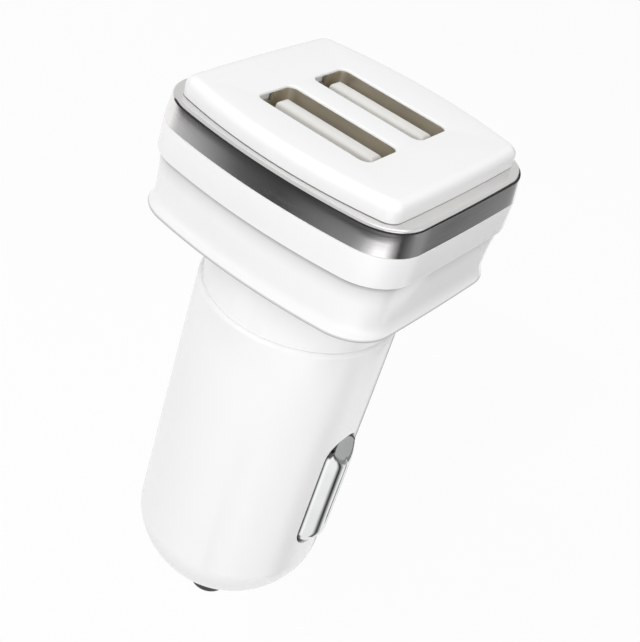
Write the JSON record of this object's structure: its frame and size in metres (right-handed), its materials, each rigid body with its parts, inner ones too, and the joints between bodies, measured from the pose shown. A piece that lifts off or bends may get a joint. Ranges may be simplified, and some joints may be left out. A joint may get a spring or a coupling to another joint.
{
  "type": "car usb charger plug",
  "caption": "Bullet-shaped power plug for a vehicle's 12 V socket, with sprung tip and side contacts and a square bowed head holding upright USB ports.",
  "frame": {"origin": "on the plug's axis, at the upper end of the barrel's guiding land, where the plug's rim meets a vehicle socket", "axes": "+Z out of the vehicle socket through the head to the face with the ports, +X along the long side of the ports, -Y the side of the ports' wide gaps"},
  "size_m": [0.0284, 0.0266, 0.064],
  "materials": {
    "shell_plastic": "gloss white moulded plastic",
    "ring_metal": "dark satin plated metal",
    "tip_metal": "dark polished plating",
    "contact_metal": "bright plated steel",
    "spring_steel": "drawn spring steel",
    "port_metal": "folded plated sheet",
    "port_plastic": "pale moulded insulator",
    "pin_metal": "plated contact metal",
    "board_laminate": "green circuit laminate",
    "black_moulding": "matt black moulding",
    "ferrite": "dark ferrite",
    "winding": "enamelled copper wire",
    "can_metal": "drawn aluminium can"
  },
  "bodies": {
    "housing": {"barrel": "shell_plastic", "head_base": "shell_plastic", "collar_band": "shell_plastic", "trim_ring": "ring_metal", "face_plate": "shell_plastic", "tip_spring": "spring_steel", "spring_seat": "pin_metal", "side_spring_right": "spring_steel", "side_spring_left": "spring_steel", "port_board": "board_laminate", "main_board": "board_laminate", "board_link": "black_moulding", "usb_shell_front": "port_metal", "usb_shell_rear": "port_metal", "usb_insulator_front": "port_plastic", "usb_insulator_rear": "port_plastic", "usb_pins_front": "pin_metal", "usb_pins_rear": "pin_metal", "inductor_core": "ferrite", "inductor_coil": "winding", "input_capacitor": "can_metal", "output_capacitor": "can_metal", "regulator_chip": "black_moulding", "charge_chip": "black_moulding"},
    "tip": {"tip_contact": "tip_metal"},
    "contact_right": {"side_contact_right": "contact_metal"},
    "contact_left": {"side_contact_left": "contact_metal"}
  },
  "joints": [
    {"name": "tip_slide", "type": "slide", "parent": "housing", "child": "tip", "axis": [0, 0, 1], "range_m": [0, 0.0022], "stiffness_N_per_m": 2500, "springref_m": -0.0015, "deforming": ["tip_spring"]},
    {"name": "contact_right_slide", "type": "slide", "parent": "housing", "child": "contact_right", "axis": [-1, 0, 0], "range_m": [0, 0.0013], "stiffness_N_per_m": 2500, "springref_m": -0.001, "deforming": ["side_spring_right"]},
    {"name": "contact_left_slide", "type": "slide", "parent": "housing", "child": "contact_left", "axis": [1, 0, 0], "range_m": [0, 0.0013], "stiffness_N_per_m": 2500, "springref_m": -0.001, "deforming": ["side_spring_left"]}
  ]
}
